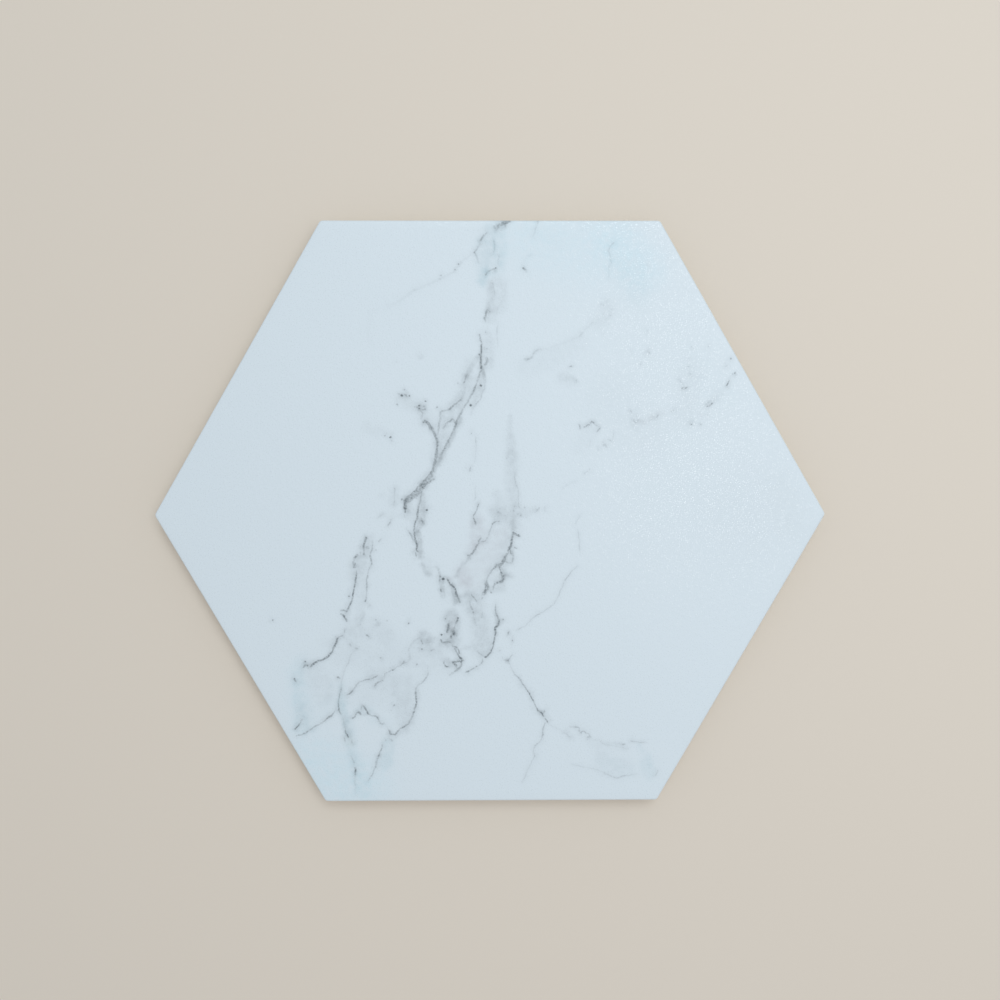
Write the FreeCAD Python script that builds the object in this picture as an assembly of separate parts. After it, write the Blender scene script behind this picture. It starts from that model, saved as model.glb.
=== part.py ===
"""Hexagon floor tile: one dry-pressed and glazed porcelain piece, stored face up.

Millimetres. Origin at the middle of the bedding plane, +Z out of the glazed face, +X towards a
corner and +Y square to a side. The face is flat and falls away in a shallow shoulder to a rounded
arris. Below the arris each side has an upright land, which meets the joint to the next tile, and
then leans in to a bevelled back edge. The back is keyed for its adhesive by a honeycomb of tapered
lands, and the tile beds on the lands' ends.
"""
import FreeCAD
import Part

import math
import os

# Outline
across_flats = 200.0
corner_radius = 1.5

# Section through a side, from the bedding plane up
thickness = 9.0
key_depth = 0.9
back_bevel_width = 1.2
back_bevel_height = 0.9
side_lean = 0.35
side_land_height = 3.2
arris_radius = 0.7
shoulder_width = 3.5
shoulder_drop = 0.16

# Keyed back
key_rings = 5
key_channel = 3.0
key_margin = 8.0
key_taper = 0.35

SIDES = 6
SIXTH = 360.0 / SIDES
ROW = math.sqrt(3.0) / 2.0


def point(x, y, z=0.0):
    return FreeCAD.Vector(x, y, z)


def polar(distance, degrees, z=0.0):
    angle = math.radians(degrees)
    return point(distance * math.cos(angle), distance * math.sin(angle), z)


def outline_wire():
    """The tile's outline on the ground: straight sides between rounded corners."""
    corner_reach = (across_flats / 2.0 - corner_radius) / ROW
    pieces = []
    for side in range(SIDES):
        corner = SIXTH * side
        centre = polar(corner_reach, corner)
        next_centre = polar(corner_reach, corner + SIXTH)
        start = centre + polar(corner_radius, corner - SIXTH / 2.0)
        middle = centre + polar(corner_radius, corner)
        end = centre + polar(corner_radius, corner + SIXTH / 2.0)
        next_start = next_centre + polar(corner_radius, corner + SIXTH / 2.0)
        pieces.append(Part.Arc(start, middle, end).toShape())
        pieces.append(Part.LineSegment(end, next_start).toShape())
    return Part.Wire(pieces)


def side_section():
    """Edges of the section from the back up to the face, at the side where y is positive."""
    edge = across_flats / 2.0
    back = edge - side_lean
    shoulder_radius = (shoulder_width ** 2 + shoulder_drop ** 2) / (2.0 * shoulder_drop)
    shoulder_centre = point(0.0, edge - shoulder_width, thickness - shoulder_radius)
    across = shoulder_width - arris_radius
    up = math.sqrt((shoulder_radius - arris_radius) ** 2 - across ** 2)
    arris_centre = shoulder_centre + point(0.0, across, up)
    slope = math.atan2(across, up)

    def on_arc(centre, radius, from_upright):
        return centre + point(0.0, radius * math.sin(from_upright), radius * math.cos(from_upright))

    bevel_start = point(0.0, back - back_bevel_width, key_depth)
    bevel_end = point(0.0, back, key_depth + back_bevel_height)
    land_top = point(0.0, edge, arris_centre.z)
    land_foot = point(0.0, edge, land_top.z - side_land_height)
    arris_middle = on_arc(arris_centre, arris_radius, (slope + math.pi / 2.0) / 2.0)
    arris_end = on_arc(arris_centre, arris_radius, slope)
    shoulder_middle = on_arc(shoulder_centre, shoulder_radius, slope / 2.0)
    shoulder_end = on_arc(shoulder_centre, shoulder_radius, 0.0)
    return [
        Part.LineSegment(bevel_start, bevel_end).toShape(),
        Part.LineSegment(bevel_end, land_foot).toShape(),
        Part.LineSegment(land_foot, land_top).toShape(),
        Part.Arc(land_top, arris_middle, arris_end).toShape(),
        Part.Arc(arris_end, shoulder_middle, shoulder_end).toShape(),
    ]


def key_section():
    """Edge of a land's section from its narrower, bedding end up to its root, where y is positive."""
    root = key_pitch() / 2.0 - key_channel / 2.0
    return [Part.LineSegment(point(0, root - key_taper, 0), point(0, root, key_depth)).toShape()]


def crossed_bars(half_section, first_turn):
    """The hexagon that three bars of one section have in common, each between two sides."""
    other_half = [edge.mirror(point(0, 0, 0), point(0, 1, 0)) for edge in half_section]
    foot = half_section[0].firstVertex().Point
    brow = half_section[-1].lastVertex().Point
    closing = []
    for end in (foot, brow):
        closing.append(Part.LineSegment(point(0, -end.y, end.z), end).toShape())
    outline = Part.Wire(Part.__sortEdges__(half_section + other_half + closing))
    length = 4.0 * foot.y
    bar = Part.Face(outline).extrude(point(length, 0, 0))
    bar.translate(point(-length / 2.0, 0, 0))
    bars = []
    for pair in range(SIDES // 2):
        turned = bar.copy()
        turned.rotate(point(0, 0, 0), point(0, 0, 1), first_turn + SIXTH * pair)
        bars.append(turned)
    return bars[0].common(bars[1]).common(bars[2])


def pressed_body():
    """The tile without its keys, its upright corners rounded by the outline."""
    prism = Part.Face(outline_wire()).extrude(point(0, 0, thickness))
    return prism.common(crossed_bars(side_section(), 0.0))


def key_pitch():
    """Spacing of the lands that fills the back out to its margin with whole rings."""
    reach = across_flats / 2.0 - key_margin + key_channel / 2.0 / ROW
    return reach / (key_rings * ROW + 1.0 / 2.0 / ROW)


def key_lands():
    """Rings of lands about the middle one, in rows that run along the tile's sides."""
    pattern = crossed_bars(key_section(), SIXTH / 2.0)
    pitch = key_pitch()
    lands = []
    for row in range(-key_rings, key_rings + 1):
        for step in range(-key_rings, key_rings + 1):
            if abs(row + step) > key_rings:
                continue
            land = pattern.copy()
            land.translate(point(pitch * (step + row / 2.0), pitch * ROW * row))
            lands.append(land)
    return lands


def hexagon_tile():
    tile = pressed_body().multiFuse(key_lands()).removeSplitter()
    return tile.Solids[0]


def main():
    os.makedirs("parts", exist_ok=True)
    tile = hexagon_tile()
    tile.exportStep("parts/hexagon_tile.step")
    box = tile.BoundBox
    print("hexagon_tile", tile.isValid(), len(tile.Faces), "faces", round(tile.Volume / 1000.0, 2), "cm3")
    print("box", round(box.XLength, 3), round(box.YLength, 3), round(box.ZLength, 3))
    print("lands", len(key_lands()), "at", round(key_pitch(), 3))


main()
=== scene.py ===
"""Looks of the hexagon floor tile: its marbled and glazed face, its bare sides and back, and its stage."""

import math

import bmesh
import bpy
import numpy as np
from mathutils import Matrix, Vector
from mathutils.geometry import delaunay_2d_cdt


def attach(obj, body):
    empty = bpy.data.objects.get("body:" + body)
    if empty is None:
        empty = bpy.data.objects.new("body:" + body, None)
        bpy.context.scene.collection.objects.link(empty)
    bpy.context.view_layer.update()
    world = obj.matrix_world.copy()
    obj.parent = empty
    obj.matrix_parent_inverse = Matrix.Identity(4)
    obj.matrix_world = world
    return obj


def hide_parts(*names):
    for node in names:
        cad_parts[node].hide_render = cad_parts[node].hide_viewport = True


bl_info = {
    "name": "Hexagon Floor Tile",
    "version": (1, 0, 0),
    "blender": (4, 5, 0),
    "location": "View3D > Sidebar > Floor Tile",
    "description": "Presses, glazes and marbles a hexagon floor tile over its solid, and sets its stage",
    "category": "Object",
}

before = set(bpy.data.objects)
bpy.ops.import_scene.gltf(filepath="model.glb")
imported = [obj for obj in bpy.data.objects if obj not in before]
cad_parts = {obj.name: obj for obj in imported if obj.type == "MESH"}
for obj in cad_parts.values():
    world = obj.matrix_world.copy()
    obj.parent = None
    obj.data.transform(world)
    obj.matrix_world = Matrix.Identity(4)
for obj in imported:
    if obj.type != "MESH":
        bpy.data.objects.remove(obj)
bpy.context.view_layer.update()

MM = 0.001
TINY = 1e-6
WHITE = (1.0, 1.0, 1.0)
DAYLIGHT = (0.86, 1.0, 1.06)

# A hexagon's sides and their angle, and how far its sides lie from its middle if its corners lie
# at 1, which is also the step between rows of points that lie 1 apart.
SIDES = 6
SIXTH = math.pi / 3.0
ROW = math.cos(SIXTH / 2.0)

# Points along each side and around each corner of the tile, and how many times closer they lie
# around the face.
SIDE_STEPS = 60
CORNER_STEPS = 3
FACE_STEPS = 4

# How deep each kind of mark is printed.
VEIN_DEPTH = 0.66
FLECK_DEPTH = 1.45
HAZE_DEPTH = 0.1
CLOUD_DEPTH = 0.5

# How a mark ends: veins and flecks over so many millimetres and paler towards their edges, clouds
# over a share of their width. A vein's width shrinks to a share of itself where it has no ink.
INK_EDGE = 0.14
INK_FALL = 1.5
FAINT_WIDTH = 0.8
CLOUD_EDGE = 0.52
CLOUD_REACH = 1.2
HAZE_WIDTH = 1.6

# Middles on the map of the face, the back and the lowest of the six sides, the pitch of the sides
# and how much of it each fills, and how much of the map's width the face, the back and a side take.
FACE_MIDDLE = (0.5, 0.64)
BACK_MIDDLE = (0.19, 0.15)
SIDE_MIDDLE = (0.68, 0.02)
SIDE_PITCH = 0.045
FACE_SHARE = 0.81
BACK_SHARE = 0.34
SIDE_SHARE = 0.55
SIDE_FILL = 0.72

# Printed veins, by the part of the marbling that they make up: the greatest width of each, and
# its route as x, y and depth of ink. All lengths in these tables are in millimetres of the face.
VEINS = {
    "smudge at the top": [
        (1, [(6.5, 99.7, .6), (5.1, 99.1, .7), (3.7, 98.7, .65), (2.6, 98.1, .5), (2.1, 96.9, .35)]),
        (.6, [(1.4, 97.9, .55), (1.4, 97.1, .4)]),
        (.6, [(5.1, 98.4, .5), (5, 97.5, .3)]),
        (.65, [(-1.3, 95.6, .4), (-2.8, 94, .6), (-3.3, 93.3, .95)]),
        (.6, [(-3.5, 92, .3), (-4.8, 90.2, .45), (-5.5, 89.1, .7), (-4.8, 88.2, .4), (-4, 85.8, .2)]),
        (.55, [(1.3, 83.6, .5), (0, 83.1, .4), (-1, 82.7, .55), (-1.5, 81.7, .5)]),
        (.55, [(1.3, 92.9, .3), (1.5, 91.4, .3), (1.2, 89.2, .3)]),
        (.45, [(3, 88.4, .25), (2.4, 85.1, .25)]),
    ],
    "trunk": [
        (.45, [(.2, 79.2, .25), (1, 78, .25), (.9, 77.3, .25), (1.4, 74.9, .25)]),
        (.75, [(5.4, 78.7, .13), (5, 75.2, .13), (4, 72.9, .13), (2.7, 70.9, .13), (2.1, 68.5, .13)]),
        (.75, [(-1.2, 69.7, .5), (-1.6, 68.7, .6), (-2, 67, .55), (-1.7, 65.8, .35)]),
        (.5, [(2.5, 64.6, .25), (2.2, 62.8, .3), (2.4, 56.8, .1)]),
        (.7, [(-3.8, 61.4, .55), (-3.4, 60.6, .45), (-3.4, 59.7, .65), (-2.9, 58.3, .45), (-3.1, 57.8, .8),
              (-3.1, 56.3, .95), (-3.4, 54.3, .85), (-3.2, 52.8, .9), (-3.2, 50.3, .8)]),
        (1, [(-1.4, 53.3, .5), (-1.1, 52.3, .55), (-1.9, 51.1, .45)]),
    ],
    "upper left": [
        (.9, [(-6.7, 88.4, .1), (-9.2, 86.5, .15), (-12.1, 82.8, .16), (-17.1, 80.3, .15)]),
        (1.2, [(-17.1, 80.3, .13), (-23.1, 77.5, .11), (-26, 76.5, .13), (-30, 73.5, .12), (-34, 71, .1),
               (-35.3, 71.4, .08)]),
        (1.8, [(-38.5, 70.3, .05), (-41, 68.9, .05), (-41.7, 60.9, .05), (-40.9, 58.4, .05)]),
    ],
    "top right": [
        (.55, [(16.1, 99.7, .45), (15.8, 98.4, .2), (15.4, 96.9, .3), (14.5, 94.3, .15)]),
        (.9, [(14.2, 88.4, .13), (12.5, 87.9, .11), (11.9, 86.7, .1), (10.6, 84.8, .1)]),
        (.7, [(11.2, 83.8, .7), (11.9, 83.2, .5), (12.1, 82.5, .2)]),
        (.8, [(11.3, 53.2, .25), (12.7, 53, .5), (13.8, 53.4, .35), (14.5, 54.5, .25), (15, 55.5, .35),
              (16, 56.3, .3), (17.2, 56.3, .1)]),
        (.85, [(17.2, 56.3, .1), (19.7, 56.7, .09), (29.7, 60.4, .11)]),
        (.7, [(30.2, 60.8, .15), (30.9, 61.4, .35), (31.6, 62.4, .18), (33.8, 64.6, .15), (34.7, 65.4, .24)]),
        (.5, [(40.2, 79.9, .13), (40.3, 84.6, .2), (41.1, 86, .27), (40.1, 89.9, .27),
              (41.1, 91.9, .3), (41.9, 92.5, .35)]),
    ],
    "left fork": [
        (.55, [(-8.3, 47.6, .4), (-8.7, 46.4, .5), (-9.2, 45.2, .8)]),
        (1, [(-9.1, 43.8, .15), (-8.8, 42.8, .2), (-9.4, 40.8, .2), (-10.1, 39.3, .24)]),
        (.7, [(-10.3, 39.3, .45), (-12.7, 37.3, .65), (-13.8, 36.3, .75),
              (-15.1, 35.8, .35), (-16.6, 35.4, .35), (-17.1, 35.1, .5), (-17.3, 34.1, .35),
              (-17.4, 32.3, .35), (-17.7, 30.3, .5), (-18.2, 27.3, .3)]),
        (.65, [(-11.9, 31.4, .65), (-12.6, 32.3, .5), (-13.2, 32.6, .65), (-14.2, 31.8, .6),
               (-15.1, 31.2, .35), (-15.9, 30, .45), (-16.3, 29.6, .4)]),
    ],
    "main strand": [
        (.65, [(-3.2, 50.3, .85), (-3.3, 49.3, .7), (-4.3, 46.4, .4), (-4.6, 45.1, .4),
               (-5.3, 43.6, .65), (-5.8, 42.5, .5)]),
        (.7, [(-5.8, 42.5, .5), (-7.7, 38.8, .46), (-9.9, 35.3, .5),
              (-10.7, 33.6, .55), (-11.4, 32.4, .62), (-12, 30.6, .6), (-12.7, 28.8, .42), (-13.7, 26.8, .5),
              (-14.5, 25.6, .6), (-15.3, 24, .5), (-15.8, 22.6, .6), (-17, 20.5, .4)]),
        (1.3, [(-2.6, 49.3, .35), (-2.2, 47.3, .3), (-2.1, 45.6, .2)]),
        (.55, [(-2.1, 44.8, .3), (-2, 43.2, .35), (-3, 41.3, .3), (-3.3, 39.8, .35), (-4.3, 38.4, .35),
               (-5.1, 37.8, .3)]),
        (.9, [(-5.1, 37.8, .2), (-6.1, 36.3, .17), (-6.7, 34.3, .17)]),
    ],
    "second strand": [
        (.5, [(-24.2, 36.3, .5), (-23.4, 35.9, .4), (-22.6, 36.1, .7)]),
        (.5, [(-29.3, 41.2, .6), (-28.6, 40.6, .5)]),
        (.4, [(-24, 35.7, .5), (-23.4, 34.7, .4)]),
        (.8, [(-23.4, 34.5, .3), (-23.6, 33.6, .35), (-23.9, 32.7, .27)]),
        (1, [(-22.3, 32.1, .62), (-21.8, 31.8, .74), (-21.2, 31, .7), (-20.7, 30, .65),
               (-20.7, 29.2, .45)]),
        (1, [(-20.3, 29.7, .6), (-19.6, 28.6, .62), (-18.6, 26.2, .65), (-18.3, 25, .6),
               (-18.2, 23.8, .65), (-18.7, 20.9, .67), (-18.8, 19.5, .62),
               (-19.2, 17.9, .65), (-19.5, 16.9, .67), (-20.2, 14.7, .65),
               (-20.6, 14.1, .45)]),
        (.45, [(-20.6, 14.1, .35), (-22.8, 12.2, .3), (-24, 10.2, .3), (-28.6, 6, .3)]),
        (.8, [(-19.6, 15.4, .33), (-19.3, 14.6, .25)]),
        (.7, [(-20.1, 14.9, .4), (-20.6, 14.1, .5), (-20.3, 13.2, .3)]),
        (2.0, [(-20.6, 13.4, .4), (-21.9, 11.9, .52), (-23.3, 10.1, .45)]),
        (2.4, [(-23.3, 10.1, .4), (-24.3, 8.8, .5), (-25.7, 7.3, .62), (-28.8, 4.9, .45)]),
        (.65, [(-19.6, 12.2, .55), (-21.4, 10.9, .7), (-22, 10.4, .6)]),
        (.65, [(-22.2, 12.3, .4), (-22.6, 11.3, .6)]),
        (.55, [(-23.7, 10.3, .5), (-23.4, 9.8, .4), (-23.1, 9.1, .8)]),
        (.65, [(-27.1, 6.6, .4), (-27.3, 5.7, .75)]),
        (.65, [(-28.6, 5.7, .6), (-29.2, 5.1, .7), (-29.8, 4.9, .5)]),
        (1.05, [(-29.4, 4.6, .75), (-29.3, 3.4, .85), (-29.4, 2.2, .85)]),
        (.65, [(-29.4, 2.2, .9), (-29.4, 1.3, .9), (-29.5, .8, .6)]),
        (.4, [(-30, .2, .25), (-29.4, -.9, .35)]),
    ],
    "long left strand": [
        (.5, [(-23.8, 7.9, .4), (-24.3, 4.2, .6), (-24.8, 2.9, .7), (-25, 1.5, .8)]),
        (.8, [(-25, 1.5, .55), (-25.2, .2, .75), (-25.3, -1.2, .65), (-25.8, -2.4, .5)]),
        (.6, [(-25.8, -2.4, .7), (-26.3, -3.9, .65), (-26.4, -5.4, .6), (-26.2, -7.4, .9),
              (-26, -8.3, .75), (-25.4, -10.9, .9), (-25.6, -12.2, .95),
              (-25.1, -12.7, .65)]),
        (.55, [(-25.8, -13.4, .75), (-25.7, -14.4, .45)]),
        (.65, [(-23.7, -2.1, .75), (-23.1, -3, .65)]),
        (1, [(-19.6, -18, .2), (-18.7, -18.1, .25), (-17.9, -18.7, .33), (-17.7, -19.9, .36),
               (-17.6, -21.4, .35)]),
        (.6, [(-17.6, -21.4, .5), (-17.7, -22.7, .55)]),
        (.65, [(-29.1, -4.4, .15), (-28.4, -5.7, .3), (-27.7, -6.7, .55), (-27.1, -7.9, .45),
               (-26.3, -9.2, .3)]),
        (.5, [(-33, 9, .55), (-33, 7.9, .3), (-33.1, 6, .2), (-33, 4.2, .35), (-33.3, 3.1, .2)]),
        (.55, [(-34.4, -1.8, .45), (-34.9, -3, .55), (-35.4, -3.9, .45)]),
        (.6, [(-38.6, -.7, .2), (-37.9, -.3, .3), (-36.9, .2, .15)]),
        (2.2, [(-23.2, 6.6, .12), (-23.3, .6, .26), (-23.5, -1.8, .27), (-24.4, -3.8, .25),
               (-25.3, -5.4, .15)]),
    ],
    "knot": [
        (.6, [(-15.2, -22.3, .75), (-14.9, -22.6, .9), (-14, -24.3, 1),
              (-13.2, -24.5, 1)]),
        (.52, [(-13.2, -24.5, 1), (-12.3, -25.6, 1), (-11.6, -28, .95), (-11.2, -28.8, .7)]),
        (.7, [(-11.2, -28.8, .5), (-10.8, -29.8, .7), (-10.7, -30.3, .5)]),
        (.5, [(-17.3, -25.8, .9), (-17.2, -26.5, .75)]),
        (.8, [(-14.8, -37.8, .65), (-14.7, -39.3, .8), (-15.2, -40.6, .7)]),
        (.65, [(-11.5, -35.8, .95), (-11.8, -37, .8), (-12.3, -38.3, .4), (-12.9, -40, .5)]),
        (.9, [(-12.9, -40.6, .6), (-12.9, -41.3, 1)]),
        (.5, [(-12.9, -41.3, 1), (-13.7, -41.7, .85), (-14, -42.8, 1)]),
        (.6, [(-17.2, -43.4, 1), (-16.9, -44.2, .55), (-14.2, -44.2, .4)]),
        (.55, [(-13.6, -45.1, .35), (-12.1, -46, .75), (-11.3, -47, .65), (-11, -48, .7)]),
        (.6, [(-12.6, -46.4, .5), (-12.1, -47.6, .5), (-10.9, -49.6, .95),
              (-10.2, -49.9, .95), (-9.8, -50.3, .75)]),
        (.65, [(-9.8, -50.3, .7), (-10.5, -51.1, .85), (-10.3, -52.1, .6), (-11, -53.1, .7), (-12, -54, .5),
               (-13, -54.8, .4), (-14.3, -55.5, .35)]),
        (.65, [(-11.1, -50.8, 1), (-12, -51, .75), (-13.3, -51.1, .8), (-12.7, -51.8, .75),
               (-12.1, -52.4, .9)]),
        (.5, [(-16.4, -50.7, .75), (-16.1, -51.8, .65), (-15.8, -52.6, .75), (-14.9, -52.7, .75)]),
        (.4, [(-6.7, -27.8, .65), (-6.1, -28.8, .7), (-4.8, -30, .65)]),
        (.5, [(-7.5, -29.8, .25), (-6.4, -32.8, .5), (-6.2, -33.8, .5)]),
        (.7, [(-6.2, -33.8, .22), (-6, -35.8, .2), (-5.2, -38.3, .2)]),
        (.5, [(-3.1, -34.3, .3), (-3.2, -35.8, .4)]),
        (2.1, [(-16.9, -23, .25), (-16.9, -25.5, .27), (-16.6, -28.2, .24)]),
        (1.9, [(-13, -25.4, .15), (-12, -29.8, .33), (-12.4, -30.9, .22)]),
        (1, [(-16.9, -44.6, .27), (-15.9, -44.6, .29), (-14.4, -43.9, .27)]),
    ],
    "right arc": [
        (.45, [(1.5, -31, .4), (1.5, -32.8, .6), (1.7, -34, .6)]),
        (.6, [(1.7, -34, .5), (2.9, -36.4, .65), (2.8, -37.3, .55)]),
        (.65, [(2.8, -37.3, .65), (2.2, -38.4, .85), (1.5, -39.2, 1), (1.4, -40.1, .85), (1.6, -41.1, .75)]),
        (.5, [(1.6, -41.1, .75), (.8, -44.8, .9), (.5, -46.1, .8), (-.1, -47.5, .8),
              (-.7, -48.4, .85), (-1.4, -49.1, 1), (-2, -49.5, .8)]),
        (.6, [(-2.8, -50.1, .25), (-3, -51.1, .6), (-3.8, -52.1, .3), (-5, -52.8, .35)]),
        (.5, [(-5, -52.8, .4), (-6.5, -53.5, .6), (-7.3, -53.8, .5), (-8, -54.5, .8), (-9, -54.8, .4)]),
        (.4, [(-7, -45.3, .1), (-5.5, -46.8, .17), (-4.3, -47.8, .5), (-2.1, -49.5, .3)]),
        (.45, [(6.2, -40.8, .8), (5.7, -41.8, .5)]),
    ],
    "middle thread": [
        (.32, [(-5.2, 26.6, .35), (-5, 24.3, .4), (-4.9, 22.8, .3), (-5.6, 17.9, .2)]),
        (.45, [(-6.9, 16.3, .4), (-7.1, 15.4, .65), (-7.4, 14.7, .3)]),
        (.32, [(-5.4, 9.9, .13), (-5.2, 6.5, .28), (-5.4, 5, .35)]),
        (.38, [(-4.3, 3.5, 1), (-4.6, 2.5, .7), (-4.9, 1.3, .65), (-5.9, -.4, .6),
               (-5.8, -1.5, .5)]),
        (.6, [(-5.8, -1.5, .4), (-5.2, -2.6, 1), (-5.3, -3.4, .4)]),
    ],
    "soft band and its node": [
        (.35, [(8.4, 13.9, .35), (8.3, 12.4, .4), (8.6, 10.7, .35), (9.3, 8.9, .35), (9.6, 7, .35),
               (9.5, 4.1, .3), (9.6, 2.8, .5), (10.1, 2.1, .3)]),
        (.65, [(2.3, .9, .3), (3.5, .4, .25)]),
        (.55, [(15.9, 1.3, .4), (16.6, 2.1, .3)]),
        (.4, [(18.5, 2.6, .3), (18.6, 1.1, .3)]),
        (.85, [(24.7, 9.1, .12), (27.7, 11, .12), (29.7, 11.5, .12)]),
    ],
    "down to the knot": [
        (.6, [(2.9, -2.4, .5), (2.1, -2.5, .4), (1.2, -2.8, .6), (.7, -3.3, .4)]),
        (.45, [(.7, -3.3, .4), (-.1, -5.5, .45), (-1.1, -7.9, .35), (-1.8, -9.1, .5),
               (-2.5, -9.4, .6), (-3.3, -9.3, .5)]),
        (.6, [(-3.5, -8.1, .6), (-4.2, -9, .65), (-4.2, -10.1, .5), (-4.9, -10.9, .6), (-5.5, -12.1, .75),
              (-7.1, -14.1, .7), (-8.1, -14.2, .5)]),
    ],
    "right loops": [
        (.7, [(9.7, -7.4, .75), (9, -7.1, .85), (7.7, -6.3, .65)]),
        (.75, [(7.7, -6.3, .55), (7.5, -7.5, .7), (7.1, -8.7, .8), (7, -10.8, .8),
               (6.3, -11.7, .8), (5.9, -12.6, .55), (5.2, -13.9, .5), (4.6, -15.1, .6)]),
        (1.1, [(4.6, -15.1, .4), (4.3, -16.1, .8), (3.5, -17.1, .65), (2.8, -17.5, .55)]),
        (.45, [(8.2, -11.3, .55), (9, -11.7, .35)]),
        (.45, [(6.5, -12.1, .5), (6.9, -13.4, .7)]),
        (.6, [(7.4, -13.4, .35), (7.8, -14.7, .4), (7.6, -15.9, .45), (7.1, -16.8, .35), (5.4, -16.4, .35)]),
        (.6, [(2, -17.4, .6), (1.1, -18.5, .7), (.2, -19.3, .5), (-.9, -21.2, .4),
              (-1.4, -22.3, .4), (-1.6, -23.2, .45)]),
        (.5, [(2.9, -17.9, .5), (3, -19.1, .5), (3.6, -20.2, .6)]),
        (.95, [(3.6, -20.2, .5), (4, -21.2, .7), (4.2, -22.1, .7), (3.9, -23.1, .7), (3, -23.4, .65),
               (2.1, -23.6, .45)]),
        (.7, [(2.1, -23.6, .5), (1.3, -24.1, .65), (.9, -25.2, .6), (.7, -25.9, .4)]),
        (1.6, [(-1.6, -23.9, .45), (-1.3, -25.4, .5), (-1.9, -26.5, .5), (-2.7, -27.3, .4)]),
        (1.2, [(-1.5, -24, .45), (-1.6, -25.6, .5), (-2.3, -26.8, .5)]),
        (1.5, [(3.2, -18.4, .25), (4.2, -20.6, .35), (4.5, -22, .38), (3.3, -23.2, .33)]),
    ],
    "right thread": [
        (.4, [(30.6, -.6, .26), (29.1, -3.1, .24)]),
        (.36, [(29.5, -4.9, .1), (30.1, -6.7, .38), (30.4, -8.9, .3), (30.5, -11.2, .38), (30.7, -13.9, .1)]),
        (.42, [(29.7, -18, .3), (28.7, -18.9, .25), (27.7, -19.9, .38), (26.9, -21.1, .5), (25.7, -22.5, .46),
               (25.1, -23.9, .2)]),
        (.45, [(25.1, -23.9, .2), (24.2, -25.9, .38), (23, -28.9, .3), (21.8, -30.9, .25), (20, -32.4, .3),
               (17.8, -33.9, .26), (16.3, -34.5, .4), (14.3, -35.8, .26), (12.9, -37.5, .38),
               (11.7, -38.6, .25), (10.4, -39.3, .26), (9.4, -40, .38)]),
        (.5, [(7.6, -41.8, .2), (7.4, -43.8, .22), (7.2, -46.3, .1)]),
        (.5, [(3.7, -49.3, .2), (4.1, -50.5, .24), (5.8, -50.7, .66)]),
        (.36, [(5.8, -50.7, .6), (6.6, -49.8, .47), (7.3, -48.9, .47)]),
    ],
    "lower right thread": [
        (.36, [(5.8, -50.7, .42), (6.7, -52.3, .22), (7.4, -54, .33), (8.3, -55.6, .54), (9.7, -56.8, .48)]),
        (.38, [(9.7, -56.8, .5), (10.6, -58.4, .65), (11.7, -60, .65), (13.4, -62.5, 1),
               (14.3, -64.2, 1), (14.8, -65.5, .65), (15.4, -66.8, .65), (16.3, -68.3, .9),
               (17.2, -68.9, 1)]),
        (.5, [(17.2, -68.9, .9), (17.9, -69.4, 1), (18.2, -70.1, .7)]),
        (.35, [(18.6, -68.1, .55), (18.2, -69, .5)]),
        (.42, [(18.8, -71, .65), (19.5, -72.1, .8)]),
        (.38, [(18.6, -72.6, .6), (18.4, -73.2, .5), (18, -75.1, .55),
               (17.8, -76.7, .65)]),
        (.5, [(17.8, -76.7, .5), (17.5, -78.3, .33), (16.4, -79.5, .33), (15.2, -80.5, .35)]),
        (.65, [(15.2, -80.5, .25), (14.6, -82.2, .22), (15.1, -84.2, .3)]),
        (.45, [(15.1, -84.2, .3), (12.5, -89.3, .27), (11.7, -91.4, .33),
               (10.7, -93.7, .17)]),
    ],
    "bottom right": [
        (.45, [(20.1, -73.3, .17), (24.8, -75.3, .17)]),
        (.45, [(25.4, -76, .33), (27.6, -77.8, .24)]),
        (.5, [(27.3, -73.8, .24), (29.5, -74.1, .6), (30.6, -74.4, .4), (30.6, -75.4, .4), (31, -76.1, .65),
              (31.4, -75.6, .4), (32, -75.4, .6), (33.1, -76.2, .4), (34.1, -76.4, .33), (34.5, -77.6, .5),
              (33.6, -77.4, .4)]),
        (.6, [(35.8, -78.5, .14), (37.8, -79.1, .15)]),
        (.4, [(37.8, -79.1, .17), (39.2, -80.1, .25), (44.7, -81.1, .18),
              (47.7, -81.8, .2)]),
        (.38, [(42.7, -79.5, .18), (45, -80, .3), (45.9, -80.1, .64), (46.7, -80, .2)]),
        (.38, [(48.6, -79, .6), (50.2, -79.3, .4), (52.7, -79.6, .33), (54.2, -79.6, .17)]),
        (.4, [(27.8, -87, .12), (30.3, -87.7, .29), (32.8, -88.3, .17), (35.3, -88.7, .24),
              (39.3, -90.2, .24)]),
        (.6, [(39.3, -90.2, .22), (42.6, -91.7, .4), (43.7, -92, .33), (46.7, -91.2, .37), (48.7, -90.9, .22),
              (50.7, -90.7, .15)]),
        (.5, [(57.2, -91.1, .34), (58, -89.6, .3)]),
    ],
    "left column": [
        (.75, [(-42.9, -8, 1), (-43.3, -9.1, .75), (-43.8, -10.9, .85)]),
        (.8, [(-43.8, -10.9, .7), (-43.7, -12.2, .35), (-43.7, -13.7, .6)]),
        (.65, [(-46, -14, .68), (-46.9, -14.8, .73), (-47.1, -15.4, .4), (-47.4, -17.1, .6)]),
        (.5, [(-46.7, -16.9, .68), (-47.2, -18.1, .65), (-46.5, -18, .5)]),
        (.55, [(-46.3, -19.5, .35), (-46.4, -20.8, .78), (-46.6, -21.5, .95), (-46.7, -23, .68),
               (-47, -24.8, .78), (-47.4, -26.5, .92), (-47.6, -28.1, .83), (-48.1, -29.8, .65),
               (-48.6, -31.1, .83), (-49.3, -32.6, .83), (-49.7, -33.6, .6)]),
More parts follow.
